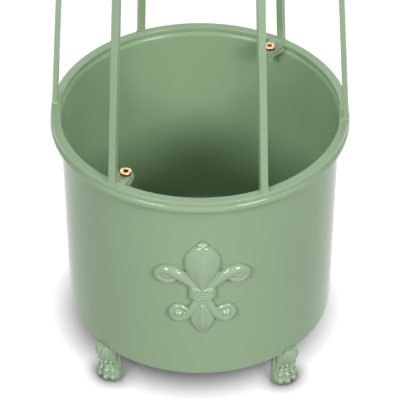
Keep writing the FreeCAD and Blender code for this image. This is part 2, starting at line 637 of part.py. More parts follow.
def finial():
    """The knob on top: stud, neck, ball and spire, turned in one piece."""
    seat = collar_low() + COLLAR_HEIGHT + COLLAR_FLARE
    stud_low = collar_low() - CROWN_NUT_HEIGHT - STUD_END
    ball_z = seat + FINIAL_NECK + sqrt(FINIAL_BALL_RADIUS ** 2 - FINIAL_NECK_RADIUS ** 2)
    spire_z = ball_z + sqrt(FINIAL_BALL_RADIUS ** 2 - FINIAL_SPIRE_RADIUS ** 2)
    tip_z = spire_z + FINIAL_SPIRE - FINIAL_SPIRE_TIP
    tip_side = V(FINIAL_SPIRE_TIP, 0, tip_z)
    tip = V(0, 0, spire_z + FINIAL_SPIRE)
    waist = V(FINIAL_WAIST_RADIUS, 0, seat + FINIAL_NECK / 2)
    foot = V(FINIAL_SEAT_RADIUS, 0, seat)
    neck_top = V(FINIAL_NECK_RADIUS, 0, seat + FINIAL_NECK)
    spire_foot = V(FINIAL_SPIRE_RADIUS, 0, spire_z)
    stud = V(FINIAL_STUD_RADIUS, 0, stud_low)
    return revolved([
        segment(V(0, 0, stud_low), stud),
        segment(stud, V(FINIAL_STUD_RADIUS, 0, seat)),
        segment(V(FINIAL_STUD_RADIUS, 0, seat), foot),
        arc(foot, waist, neck_top),
        arc(neck_top, V(FINIAL_BALL_RADIUS, 0, ball_z), spire_foot),
        segment(spire_foot, tip_side),
        arc(tip_side, polar(FINIAL_SPIRE_TIP, 45, 0, tip_z), tip),
        segment(tip, V(0, 0, stud_low)),
    ])


def crown_nut():
    """The nut under the collar, on the finial's stud."""
    low = collar_low() - CROWN_NUT_HEIGHT
    nut = hexagon(CROWN_NUT_WIDTH, low, low + CROWN_NUT_HEIGHT)
    bore = Part.makeCylinder(FINIAL_STUD_RADIUS + THREAD_CLEARANCE, CROWN_NUT_HEIGHT, V(0, 0, low))
    return nut.cut(bore)


# ---- write every piece to its own file ---------------------------------------------------
def pieces():
    """Every sub-part by name, in the order it goes together."""
    made = {"pot_wall": drilled_wall(), "pot_floor": pot_floor()}
    foot = paw_foot()
    foot_names = ("rear_right", "rear_left", "front_left", "front_right")
    for name, azimuth in zip(foot_names, foot_azimuths()):
        made["paw_foot_" + name] = turned(foot, azimuth)
    made["foot_screws"] = foot_screws()
    made["fleur_ornament"] = fleur_ornament()
    made["ornament_screws"] = ornament_screws()
    for name, azimuth in zip(("front", "rear"), LUG_AZIMUTHS):
        made["pot_lug_" + name] = turned(pot_lug(), azimuth)
        made["trellis_lug_" + name] = turned(trellis_lug(), azimuth)
        made["lug_screw_" + name] = turned(lug_screw(), azimuth)
    made["lug_nuts"] = lug_nuts()
    made["base_ring"] = ring(RING_INNER_RADIUS, RING_OUTER_RADIUS, RING_LOW, RING_TOP, RING_EDGE)
    for k in range(UPRIGHT_COUNT):
        azimuth = TRELLIS_TURN + 360.0 * k / UPRIGHT_COUNT
        made["upright_%d" % (k + 1)] = turned(upright(), azimuth)
        made["crown_rib_%d" % (k + 1)] = turned(crown_rib(), azimuth)
    for name, rise in zip(("lower", "upper"), HOOP_RISES):
        made["hoop_" + name] = hoop(rise)
    made["shoulder_ring"] = ring(SHOULDER_RADIUS - RING_WIDTH / 2, SHOULDER_RADIUS + RING_WIDTH / 2,
                                 SHOULDER_LOW, SHOULDER_TOP, RING_EDGE)
    made["crown_collar"] = crown_collar()
    made["crown_nut"] = crown_nut()
    made["finial"] = finial()
    return made


os.makedirs("parts", exist_ok=True)
for node, shape in pieces().items():
    shape.exportStep("parts/%s.step" % node)
    print("%-24s solids %d  volume %10.1f  valid %s"
          % (node, len(shape.Solids), shape.Volume, shape.isValid()))
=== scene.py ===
"""Looks of the planter with trellis: sage powder coat, cast paws and lily, brass screws.

Metres, +Z up, the pot's axis on the Z axis, the lily faces -Y. Azimuths are degrees from +X
towards +Y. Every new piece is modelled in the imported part's own frame.
"""
import json
import math

import bpy
from bpy.props import FloatProperty, FloatVectorProperty, PointerProperty
from mathutils import Matrix, Vector


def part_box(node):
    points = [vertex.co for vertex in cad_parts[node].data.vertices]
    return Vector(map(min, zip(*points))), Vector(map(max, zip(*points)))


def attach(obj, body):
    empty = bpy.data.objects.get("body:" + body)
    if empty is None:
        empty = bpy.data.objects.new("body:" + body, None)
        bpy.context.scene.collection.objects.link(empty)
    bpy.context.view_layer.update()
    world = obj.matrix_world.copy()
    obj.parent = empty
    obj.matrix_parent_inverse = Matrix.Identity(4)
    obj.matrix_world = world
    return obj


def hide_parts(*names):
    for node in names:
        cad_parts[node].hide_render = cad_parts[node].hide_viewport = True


bl_info = {
    "name": "Planter with trellis",
    "version": (1, 0, 0),
    "blender": (4, 5, 0),
    "location": "View3D > Sidebar > Planter",
    "description": "Dresses a sheet-metal planter and its cage trellis",
    "category": "Object",
}

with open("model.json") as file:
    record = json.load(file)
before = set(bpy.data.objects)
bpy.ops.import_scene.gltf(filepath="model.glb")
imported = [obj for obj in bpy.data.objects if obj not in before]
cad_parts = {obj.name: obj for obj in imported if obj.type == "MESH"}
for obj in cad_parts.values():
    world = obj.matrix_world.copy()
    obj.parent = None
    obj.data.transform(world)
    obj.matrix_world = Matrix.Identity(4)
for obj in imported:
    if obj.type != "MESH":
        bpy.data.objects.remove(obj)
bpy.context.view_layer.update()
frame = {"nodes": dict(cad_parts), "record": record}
MM = 0.001

# ---- places read from the frame, and sizes that follow the part -----------------------------
WALL_LOW, WALL_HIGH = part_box("pot_wall")
RIM_RADIUS = 150.0 * MM
CURL_RADIUS = 5.6 * MM
SHEET = 1.0 * MM
WALL_TAPER = 2.8 * MM
WALL_FOOT = WALL_LOW[2]
CURL_Z = WALL_HIGH[2] - CURL_RADIUS
WALL_TOP_RADIUS = RIM_RADIUS - 2 * CURL_RADIUS + SHEET
RING_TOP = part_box("base_ring")[1][2]
UPRIGHT_COUNT = 6
TRELLIS_TURN = -6.2             # azimuth of the first upright
LILY_TIP = WALL_HIGH[2] - 50.2 * MM
LILY_GAP = 0.1 * MM             # between the lily's back and the wall
FOOT_AZIMUTHS = (42.0, 132.0, 222.0, 312.0)
FOOT_FACE = 127.5 * MM          # front of a foot's flat back plate, from the pot's axis
FOOT_PLATE = 4.0 * MM
FOOT_WIDTH = 30.0 * MM
FOOT_TOP = 56.8 * MM            # underside of the pot's floor
PAD_LENGTH = 22.0 * MM
PAD_THICK = 5.0 * MM
SADDLE_GAP = 0.3 * MM           # between a knee and the wall
SOLE_GAP = 0.01 * MM            # a foot ends this far above the floor
FOOT_NODES = ("paw_foot_rear_right", "paw_foot_rear_left", "paw_foot_front_left",
              "paw_foot_front_right")

# ---- the lily: tables in millimetres --------------------------------------------------------
# drop from the lily's tip, half width, bulge from the wall
LILY_PETAL = ((5.6, 2.6, 2.8), (7.6, 8.2, 5.0), (11.0, 12.0, 6.4), (16.0, 15.6, 7.2),
              (22.0, 17.8, 7.6), (28.0, 18.7, 7.7), (33.0, 18.3, 7.7), (38.0, 16.9, 7.5),
              (44.0, 14.3, 7.2), (51.5, 10.8, 6.8), (60.7, 7.9, 6.4), (68.0, 6.4, 6.2))
LILY_ALMOND = ((14.5, 1.0, 7.0), (18.0, 5.0, 8.0), (23.0, 8.6, 9.0), (29.0, 10.9, 9.7),
               (36.0, 11.6, 10.0), (42.0, 10.4, 9.7), (48.0, 8.4, 9.1), (56.0, 5.4, 8.1),
               (63.0, 3.4, 7.2))
LILY_DROP = ((120.4, 0.5, 0.9), (118.4, 3.0, 2.4), (115.0, 6.4, 3.8), (110.4, 9.5, 4.8),
             (106.4, 11.4, 5.4), (102.5, 12.0, 5.6), (98.0, 11.4, 5.6), (92.0, 9.6, 5.6),
             (84.0, 7.4, 5.4), (76.0, 6.3, 5.4), (71.0, 6.0, 5.4))
LILY_TEAR = ((113.6, 0.8, 3.8), (111.0, 4.0, 6.2), (106.5, 6.2, 7.8), (101.0, 6.8, 8.3),
             (95.0, 5.8, 8.2), (88.0, 4.0, 7.6), (81.0, 2.2, 6.6))
# sideways, drop, radius along each scrolled arm
LILY_UPPER = ((4.0, 64.0, 4.0), (8.6, 57.6, 4.3), (14.6, 51.0, 5.0), (21.6, 44.2, 6.6),
              (29.0, 39.8, 6.8), (37.0, 38.6, 5.8), (43.2, 41.8, 4.4), (44.4, 46.8, 4.0),
              (41.6, 51.2, 3.8), (35.4, 53.4, 3.7), (29.4, 52.0, 3.5), (26.6, 48.6, 3.1))
LILY_LOWER = ((4.0, 75.0, 4.0), (7.6, 82.6, 4.6), (11.2, 91.0, 4.8), (16.2, 98.4, 4.4),
              (22.4, 102.0, 4.0), (28.2, 99.8, 3.8), (30.6, 93.6, 3.7), (28.0, 87.4, 3.6),
              (22.6, 85.2, 3.4), (17.8, 88.2, 3.0))
# sideways, drop, three radii of each scroll's knob
LILY_KNOBS = ((34.8, 45.6, 8.0, 6.0, 5.2), (23.2, 93.4, 5.8, 7.4, 5.0))
ARM_FLATNESS = 0.96             # of an arm's round section, out from the wall
ARM_OUT = 1.2 * MM              # middle of an arm, out from the wall
# sideways, out from the wall and sag along a collar rib, from end to end
RIB_LINE = ((-11.8, 1.0, 0.0), (-10.0, 4.4, 0.3), (-4.6, 6.4, 0.9),
            (4.6, 6.4, 0.9), (10.0, 4.4, 0.3), (11.8, 1.0, 0.0))
LILY_RIBS = (59.6, 63.1, 66.6, 70.1)             # drop of each collar rib
RIB_RADIUS = 1.85
COLLAR_CORE = (11.2, 6.6, 7.4)  # three radii of the ball inside the ribs
# sideways, drop, out from the wall and radius of each grain of the bud on the tip
LILY_BUD = ((0.0, 1.9, 1.3, 2.0), (-3.1, 4.6, 1.5, 2.2), (3.1, 4.6, 1.5, 2.2),
            (0.0, 6.0, 2.2, 2.6))
LILY_SIDES = 48
LILY_VOXEL = 0.5 * MM
LILY_PASSES = 3

# ---- the screws -----------------------------------------------------------------------------
HEAD_RADIUS = 5.6 * MM
HEAD_HEIGHT = 3.6 * MM
SHANK_RADIUS = 3.0 * MM
THREAD_PITCH = 1.0 * MM
THREAD_DEPTH = 0.45 * MM
THREAD_CREST = 0.15             # share of the pitch
THREAD_FLANK = 0.55             # share of the pitch where the flank ends
HEAD_EDGE = 0.2 * MM
HEAD_ROUND = 1.0 * MM
HEAD_STEPS = 6
SOCKET_RADIUS = 2.8 * MM        # centre to a corner of the hexagon
SOCKET_DEPTH = 2.2 * MM
SOCKET_TURN = 12.0
RECESS_DEPTH = 0.35 * MM        # shallow dish round the socket
RECESS_OUTER = SOCKET_RADIUS + 0.3 * MM
RECESS_INNER = SOCKET_RADIUS - 0.2 * MM
SCREW_STEPS = 64

# ---- the trellis and its welds --------------------------------------------------------------
UPRIGHT_RADIUS = 146.2 * MM
UPRIGHT_HEIGHT = 760.0 * MM
UPRIGHT_LEAN = math.tan(math.radians(3.7))
BAR_WIDTH = 7.7 * MM
BAR_THICK = 5.2 * MM
RING_HEIGHT = 4.5 * MM
RING_INNER_RADIUS = 140.65 * MM
HOOP_RISES = (280.0 * MM, 520.0 * MM)
HOOP_HEIGHT = 7.0 * MM
LUG_UPRIGHTS = (4, 1)           # counted from 0, front and rear
LUG_HALF = 8.0 * MM
LUG_TURN = 0.5                  # degrees from a lug's upright to the lug
WELD_RADII = (1.25 * MM, 1.0 * MM, 0.8 * MM)     # left, right and inner side of a bar's foot
WELD_GAP = 0.2 * MM             # middle of a bead, out from the bar
WELD_LIFT = 0.1 * MM            # middle of a bead, off the ring
HOOP_WELD = 0.9 * MM
HOOP_WELD_END = 0.4 * MM        # short of the hoop's edges
LUG_WELD = 0.75 * MM
LUG_WELD_SINK = 0.3 * MM
SIDE_BEATS = 4
INNER_BEATS = 6
HOOP_BEATS = 5
LUG_BEATS = 12
SWELL_MEAN = 0.82
SWELL_WAVES = ((0.2, 2.4, 0.7), (0.1, 5.1, 0.0))     # height, beat and start of each wave
WELD_VOXEL = 0.3 * MM
WELD_PASSES = 2

# ---- the feet: tables in millimetres --------------------------------------------------------
# height, middle ahead of the plate, reach ahead and reach sideways of the foot's leg
FOOT_LEG = ((0.0, 0.0, 9.6, 14.2), (4.0, 0.0, 10.2, 14.4), (8.0, 0.0, 9.4, 13.8),
            (12.0, 0.0, 8.0, 12.0), (15.0, 0.4, 7.2, 10.0), (18.0, 1.4, 6.6, 8.0),
            (20.5, 2.8, 6.4, 7.2), (23.0, 4.0, 6.8, 7.4), (26.0, 5.0, 7.4, 8.0),
            (30.6, 6.0, 8.2, 8.6), (35.0, 6.4, 8.6, 9.0), (40.0, 6.4, 8.8, 9.2),
            (43.5, 6.2, 8.6, 9.0), (45.6, 6.2, 7.2, 7.8), (46.6, 6.2, 4.6, 5.0))
# the same for the web that joins the leg to its plate
FOOT_WEB = ((14.0, 0.0, 3.0, 13.6), (18.0, 0.4, 4.0, 13.2), (21.0, 0.8, 5.0, 12.4),
            (25.0, 1.2, 6.4, 12.2), (30.0, 1.6, 7.6, 12.8), (36.0, 1.8, 8.2, 13.4),
            (41.0, 1.8, 8.0, 13.6), (44.5, 1.6, 6.0, 12.8), (46.4, 1.4, 3.0, 10.0))
ANKLE_RINGS = ((20.4, 2.8, 6.8, 7.8), (17.4, 1.6, 7.4, 8.8))
# turn, height, reach from the plate and radius of each curl of the frill round the ankle
FRILL = ((-78.0, 24.6, 11.0, 1.8), (-52.0, 22.6, 10.8, 1.9), (-27.0, 25.0, 11.4, 1.8),
         (0.0, 22.8, 11.2, 2.0), (27.0, 25.0, 11.4, 1.8), (52.0, 22.6, 10.8, 1.9),
         (78.0, 24.6, 11.0, 1.8))
# degrees from straight ahead
TOE_TURNS = (-60.0, -20.0, 20.0, 60.0)
LOBE_TURNS = (-80.0, -40.0, 0.0, 40.0, 80.0)
# start ahead of the plate, reach ahead, reach sideways, height and radius along a toe
TOE_LINE = ((1.0, 6.2, 7.4, 16.6, 1.8), (0.0, 8.8, 10.4, 11.6, 2.7),
            (0.0, 9.9, 11.4, 7.8, 2.6), (0.0, 10.2, 11.8, 3.8, 3.1))
# three radii of the balls on a toe
KNUCKLE = (3.3, 3.2, 2.6)
TOE_TIP = (3.9, 3.7, 3.8)
# height, middle ahead of the plate, reach and radius along a lobe of the knee
LOBE_LINE = ((45.4, 7.0, 6.8, 1.6), (40.5, 7.0, 7.9, 2.3), (35.0, 6.7, 7.5, 2.2),
             (30.0, 6.0, 6.4, 1.8), (26.0, 5.0, 5.0, 1.0))
ANKLE_THICK = 1.5
FOOT_SIDES = 40
PAW_VOXEL = 0.42 * MM
PAW_PASSES = 2
RELIEF_SINK = 1.0 * MM          # how far the relief goes into its plate
PLATE_EDGE = 0.4 * MM
WALL_ROOM = 30.0 * MM           # height of the wall's room that is kept free

# ---- how finely the meshes are made ---------------------------------------------------------
SAME_SPOT = 1e-6                # points closer than this are merged
LATHE_SPOT = 1e-7
NO_LENGTH = 1e-8
TUBE_FACETS = 6
TUBE_STEPS = 8
TUBE_ORDER = 3
END_RINGS = 12
WALL_STEPS = 360
CAST_CREASE = 50.0              # degrees, past which an edge stays sharp
FLAT_CREASE = 30.0
WELD_CREASE = 60.0

# ---- finishes -------------------------------------------------------------------------------
# slot: brightness of the tint, a painted lightening or darkening of the one coat that stands in
# for how that slot's pieces are lit, share of the roughness, specular level, mottle
COATS = {"pot_coat": (1.01, 1.0, 0.27, 0.03), "trellis_coat": (1.04, 2.0, 0.65, 0.05),
         "casting_coat": (0.99, 0.6, 0.9, 0.06), "lug_coat": (1.05, 1.0, 0.7, 0.06)}
MOTTLE_SCALE = 9.0
MOTTLE_BAND = (0.3, 0.7)        # noise values that become the mottle's darkest and lightest
ZINC_ROUGHNESS = 0.3
ZINC_GRAIN = 700.0
GRAIN_SPREAD = (0.7, 1.4)       # shares of the roughness
GRAIN_STOPS = (0.35, 0.6)
GRAIN_SHADE = (0.8, 0.74, 0.66)
BRASS_BLUSH_SCALE = 260.0
BRASS_STOPS = (0.42, 0.62)
BRASS_ROUGHNESS = (0.18, 0.34)
BRASS_PAINTED_SHADE_BAND = (0.9 * MM, 0.3 * MM)          # painted shade below the face, dark to bright

# ---- stage: name, place, width, height and share of the setting's power ----------------------
LAMPS = (("stage_key_left", (-2.6, -3.5, 2.7), 1.6, 1.2, "key_power", 0.97),
         ("stage_key_right", (2.6, -3.5, 2.7), 1.6, 1.2, "key_power", 1.14),
         ("stage_back_left", (-1.6, 3.8, 1.4), 1.6, 1.2, "back_power", 1.0),
         ("stage_back_right", (1.6, 3.8, 1.4), 1.6, 1.2, "back_power", 1.0),
         ("stage_left", (-2.0, -0.5, 1.9), 1.0, 1.0, "side_power", 1.0),
         ("stage_right", (2.0, -0.5, 1.9), 1.0, 1.0, "side_power", 1.0),
         ("stage_high_left", (-1.4, -1.5, 2.45), 1.2, 0.15, "top_power", 1.0),
         ("stage_high_right", (1.4, -1.5, 2.45), 1.2, 0.15, "top_power", 1.0))
LAMP_AIM = (0.0, 0.0, 0.2)
FLOOR_SIZE = 24.0
# middle of the painted soft shadow on the floor
SHADE_MIDDLE = (-4 * MM, 24 * MM, 0.0)
FLOOR_TONE = 0.2
FLOOR_GLOW = 0.95
SHADE_POWER = 3.0
SHADE_SAMPLES = 16
SENSOR_WIDTH = 36.0
CLIP_NEAR = 0.05
CLIP_FAR = 60.0


def wall_radius(z):
    """Outer radius of the tapered wall at a height."""
    share = (CURL_Z - z) / (CURL_Z - WALL_FOOT)
    return WALL_TOP_RADIUS - WALL_TAPER * share


def colour(red, green, blue):
    """Linear colour with alpha, from the 0 to 255 values it is seen at."""
    linear = []
    for value in (red, green, blue):
        share = value / 255.0
        linear.append(share / 12.92 if share <= 0.04045 else ((share + 0.055) / 1.055) ** 2.4)
    return (*linear, 1.0)


# ---- settings -------------------------------------------------------------------------------
class CoatSettings(bpy.types.PropertyGroup):
    """The powder coat on every painted piece."""
    tint: FloatVectorProperty(
        name="Coat colour", description="Colour of the powder coat", subtype="COLOR",
        size=4, min=0.0, max=1.0, default=colour(151, 178, 142))
    gloss_roughness: FloatProperty(
        name="Roughness", description="Roughness of the coat's surface", min=0.0, max=1.0,
        subtype="FACTOR", default=0.12)
    peel_size: FloatProperty(
        name="Orange peel size", description="Distance between the coat's ripples",
        unit="LENGTH", min=0.0005, max=0.02, default=0.0035)
    peel_depth: FloatProperty(
        name="Orange peel depth", description="How far the coat's ripples stand up",
        unit="LENGTH", min=0.0, max=0.0005, default=0.000012)
    brass: FloatVectorProperty(
        name="Screw colour", description="Face of the brass screws", subtype="COLOR", size=4,
        min=0.0, max=1.0, default=colour(250, 226, 168))
    brass_blush: FloatVectorProperty(
        name="Screw blush", description="Warmer patches on the screws", subtype="COLOR", size=4,
        min=0.0, max=1.0, default=colour(242, 196, 168))
    # painted shade: the colour the sockets and the heads' sides are painted in
    brass_painted_shade: FloatVectorProperty(
        name="Screw shade", description="The screws' socket and side", subtype="COLOR", size=4,
        min=0.0, max=1.0, default=colour(150, 92, 64))


class StageSettings(bpy.types.PropertyGroup):
    """Camera, lamps and floor."""
    distance: FloatProperty(
        name="Camera distance", description="From the pot's axis to the camera, along the floor",
        unit="LENGTH", default=2.0504)
    height: FloatProperty(
        name="Camera height", description="From the floor to the camera", unit="LENGTH",
        default=1.8302)
    heading: FloatProperty(
        name="Camera heading", description="Turn of the camera about the pot's axis",
        subtype="ANGLE", default=math.radians(-1.0))
    pitch: FloatProperty(
        name="Camera pitch", description="How far the camera looks down", subtype="ANGLE",
        default=math.radians(39.15))
    roll: FloatProperty(
        name="Camera roll", description="Turn of the camera about its own view",
        subtype="ANGLE", default=math.radians(0.0))
    lens: FloatProperty(
        name="Lens", description="Focal length on a 36 mm sensor, in millimetres", default=231.1)
    key_power: FloatProperty(
        name="Key lamps", description="Power of each large lamp in front", unit="POWER",
        default=114.0)
    back_power: FloatProperty(
        name="Back lamps", description="Power of each large lamp behind", unit="POWER",
        default=42.0)
    side_power: FloatProperty(
        name="Side lamp", description="Power of each side lamp", unit="POWER", default=1.0)
    top_power: FloatProperty(
        name="High lamps", description="Power of each narrow lamp high in front", unit="POWER",
        default=6.0)
    room_light: FloatProperty(
        name="Room light", description="Strength of the light from all round", min=0.0, max=1.0,
        default=0.14)
    # the floor's glow carries painted shade: a contact shade from ambient occlusion and a soft
    # round shadow
    shade_reach: FloatProperty(
        name="Contact shade", description="How far the shade close round the feet reaches",
        unit="LENGTH", default=0.02)
    shade_inner: FloatProperty(
        name="Shade core", description="Radius of the dark middle of the pot's soft shade",
        unit="LENGTH", default=0.105)
    shade_outer: FloatProperty(
        name="Shade edge", description="Radius where the pot's soft shade ends", unit="LENGTH",
        default=0.165)
    shade_depth: FloatProperty(
        name="Shade depth", description="Light left in the middle of the shade", min=0.0,
        max=1.0, subtype="FACTOR", default=0.04)


# ---- modelling helpers ----------------------------------------------------------------------
def deselect():
    """Object mode with nothing selected."""
    if bpy.context.object and bpy.context.object.mode != "OBJECT":
        bpy.ops.object.mode_set(mode="OBJECT")
    bpy.ops.object.select_all(action="DESELECT")


def pick(*pieces):
    """Select the pieces alone, the last one active."""
    deselect()
    for piece in pieces:
        piece.select_set(True)
        bpy.context.view_layer.objects.active = piece
    return pieces[-1]


def named(name):
    """Name the active object and its mesh."""
    piece = bpy.context.object
    piece.name = name
    piece.data.name = name
    return piece


def settle(piece):
    """Put the object's place into its mesh."""
    pick(piece)
    bpy.ops.object.transform_apply(location=True, rotation=True, scale=True)
    return piece


def joined(name, parts):
    """One object from several."""
    pick(*parts)
    if len(parts) > 1:
        bpy.ops.object.join()
    return named(name)


def apply_all(piece):
    """Apply the piece's modifiers in order."""
    pick(piece)
    for modifier in list(piece.modifiers):
        bpy.ops.object.modifier_apply(modifier=modifier.name)
    return piece


def tidy_mesh(piece):
    """Merge doubles and turn all normals outwards."""
    pick(piece)
    bpy.ops.object.mode_set(mode="EDIT")
    bpy.ops.mesh.select_all(action="SELECT")
    bpy.ops.mesh.remove_doubles(threshold=SAME_SPOT)
    bpy.ops.mesh.normals_make_consistent(inside=False)
    bpy.ops.object.mode_set(mode="OBJECT")
    return piece


def smooth(piece, angle):
    """Smooth shading with creases sharper than the angle kept."""
    pick(piece)
    bpy.ops.object.shade_smooth_by_angle(angle=math.radians(angle))
    return piece


def bead(centre, radii, turn=(0.0, 0.0, 0.0), rings=16):
    """A ball stretched to three radii, turned, at a place."""
    deselect()
    bpy.ops.mesh.primitive_uv_sphere_add(segments=2 * rings, ring_count=rings, radius=1.0,
                                         location=centre, rotation=turn)
    piece = bpy.context.object
    piece.scale = radii
    return settle(piece)


def tube(points):
    """A round tube with domed ends through (x, y, z, radius) points."""
    curve = bpy.data.curves.new("tube", "CURVE")
    curve.dimensions = "3D"
    curve.bevel_depth = 1.0
    curve.bevel_resolution = TUBE_FACETS
    curve.use_fill_caps = True
    curve.resolution_u = TUBE_STEPS
    spline = curve.splines.new("NURBS")
    spline.points.add(len(points) - 1)
    for spot, (x, y, z, radius) in zip(spline.points, points):
        spot.co = (x, y, z, 1.0)
        spot.radius = radius
    spline.order_u = TUBE_ORDER
    spline.use_endpoint_u = True
    piece = bpy.data.objects.new("tube", curve)
    bpy.context.collection.objects.link(piece)
    pick(piece)
    bpy.ops.object.convert(target="MESH")
    piece = bpy.context.object
    ends = []
    for x, y, z, radius in (points[0], points[-1]):
        ends.append(bead((x, y, z), (radius, radius, radius), rings=END_RINGS))
    return joined("tube", [*ends, piece])


def drawn(sections, sides):
    """A closed bar drawn up through (centre, half width, half depth) sections, level ones."""
    deselect()
    centre, half_width, half_depth = sections[0]
    bpy.ops.mesh.primitive_circle_add(vertices=sides, radius=1.0, fill_type="NGON",
                                      location=(0, 0, 0))
    piece = bpy.context.object
    bpy.ops.object.mode_set(mode="EDIT")
    bpy.ops.transform.resize(value=(half_width, half_depth, 1.0), center_override=(0, 0, 0))
    bpy.ops.transform.translate(value=centre)
    last = (centre, half_width, half_depth)
    for centre, half_width, half_depth in sections[1:]:
        step = Vector(centre) - Vector(last[0])
        bpy.ops.mesh.extrude_region_move(TRANSFORM_OT_translate={"value": step})
        bpy.ops.transform.resize(value=(half_width / last[1], half_depth / last[2], 1.0),
                                 center_override=centre)
        last = (centre, half_width, half_depth)
    bpy.ops.object.mode_set(mode="OBJECT")
    return tidy_mesh(piece)


def lathe(name, outline, steps):
    """A turned piece: (radius, z) points are extruded one by one and spun about the Z axis."""
    deselect()
    bpy.ops.mesh.primitive_plane_add(size=MM, location=(0, 0, 0))
    piece = named(name)
    bpy.ops.object.mode_set(mode="EDIT")
    bpy.ops.mesh.select_all(action="SELECT")
    bpy.ops.mesh.merge(type="CENTER")
    first = Vector((outline[0][0], 0, outline[0][1]))
    bpy.ops.transform.translate(value=first)
    last = first
    for radius, z in outline[1:]:
        here = Vector((radius, 0, z))
        bpy.ops.mesh.extrude_vertices_move(TRANSFORM_OT_translate={"value": here - last})
        last = here
    bpy.ops.mesh.select_all(action="SELECT")
    bpy.ops.mesh.spin(steps=steps, angle=2 * math.pi, center=(0, 0, 0), axis=(0, 0, 1))
    bpy.ops.mesh.select_all(action="SELECT")
    bpy.ops.mesh.remove_doubles(threshold=LATHE_SPOT)
    bpy.ops.mesh.dissolve_degenerate(threshold=NO_LENGTH)
    bpy.ops.mesh.normals_make_consistent(inside=False)
    bpy.ops.object.mode_set(mode="OBJECT")
    return piece


def bow(centre, radius, start, end, steps):
    """(radius, z) points of an arc, angles in degrees from outwards towards up."""
    points = []
    for k in range(steps + 1):
        angle = math.radians(start + (end - start) * k / steps)
        points.append((centre[0] + radius * math.cos(angle), centre[1] + radius * math.sin(angle)))
    return points


def cast_together(name, parts, voxel, passes):
    """One casting from overlapping shapes: voxel remesh, then light smoothing."""
    piece = joined(name, parts)
    remesh = piece.modifiers.new("cast", "REMESH")
    remesh.mode = "VOXEL"
    remesh.voxel_size = voxel
    relax = piece.modifiers.new("relax", "SMOOTH")
    relax.factor = 0.5
    relax.iterations = passes
    return apply_all(piece)


def sawn(piece, point, normal):
    """Cut a piece by a plane, keep the side the normal points away from, and close it."""
    pick(piece)
    bpy.ops.object.mode_set(mode="EDIT")
    bpy.ops.mesh.select_all(action="SELECT")
    bpy.ops.mesh.bisect(plane_co=point, plane_no=normal, use_fill=True, clear_outer=True)
    bpy.ops.object.mode_set(mode="OBJECT")
    return piece


def hollowed(piece, tool):
    """Cut a tool out of a piece."""
    cut = piece.modifiers.new("cut", "BOOLEAN")
    cut.operation = "DIFFERENCE"
    cut.solver = "EXACT"
    cut.object = tool
    apply_all(piece)
    pick(tool)
    bpy.ops.object.delete()
    return piece


def block(low, high, edge):
    """A box between two corners with bevelled edges."""
    deselect()
    size = Vector(high) - Vector(low)
    bpy.ops.mesh.primitive_cube_add(size=1.0, location=(Vector(low) + Vector(high)) / 2)
    piece = bpy.context.object
    piece.scale = size
    settle(piece)
    bpy.ops.object.mode_set(mode="EDIT")
    bpy.ops.mesh.select_all(action="SELECT")
    bpy.ops.mesh.bevel(offset=edge, segments=2, affect="EDGES")
    bpy.ops.object.mode_set(mode="OBJECT")
    return piece


def turned(piece, azimuth):
    """Turn a piece's mesh about the pot's axis, from +X to an azimuth."""
    piece.data.transform(Matrix.Rotation(math.radians(azimuth), 4, "Z"))
    return piece


def twin(piece, name):
    """A copy with its own mesh."""
    copy = piece.copy()
    copy.data = piece.data.copy()
    copy.name = name
    copy.data.name = name
    bpy.context.collection.objects.link(copy)
    return copy


# ---- materials ------------------------------------------------------------------------------
def group(name, inputs, outputs):
    """An empty shader node group with its sockets, and its two end nodes."""
    tree = bpy.data.node_groups.new(name, "ShaderNodeTree")
    for label, kind, value in inputs:
        socket = tree.interface.new_socket(name=label, in_out="INPUT", socket_type=kind)
        socket.default_value = value
    for label, kind in outputs:
        tree.interface.new_socket(name=label, in_out="OUTPUT", socket_type=kind)
    return tree, tree.nodes.new("NodeGroupInput"), tree.nodes.new("NodeGroupOutput")


def node(tree, kind, **values):
    """A node with some of its properties and, by socket name, its values set."""
    made = tree.nodes.new(kind)
    for key, value in values.items():
        if key in made.inputs:
            made.inputs[key].default_value = value
        else:
            setattr(made, key, value)
    return made


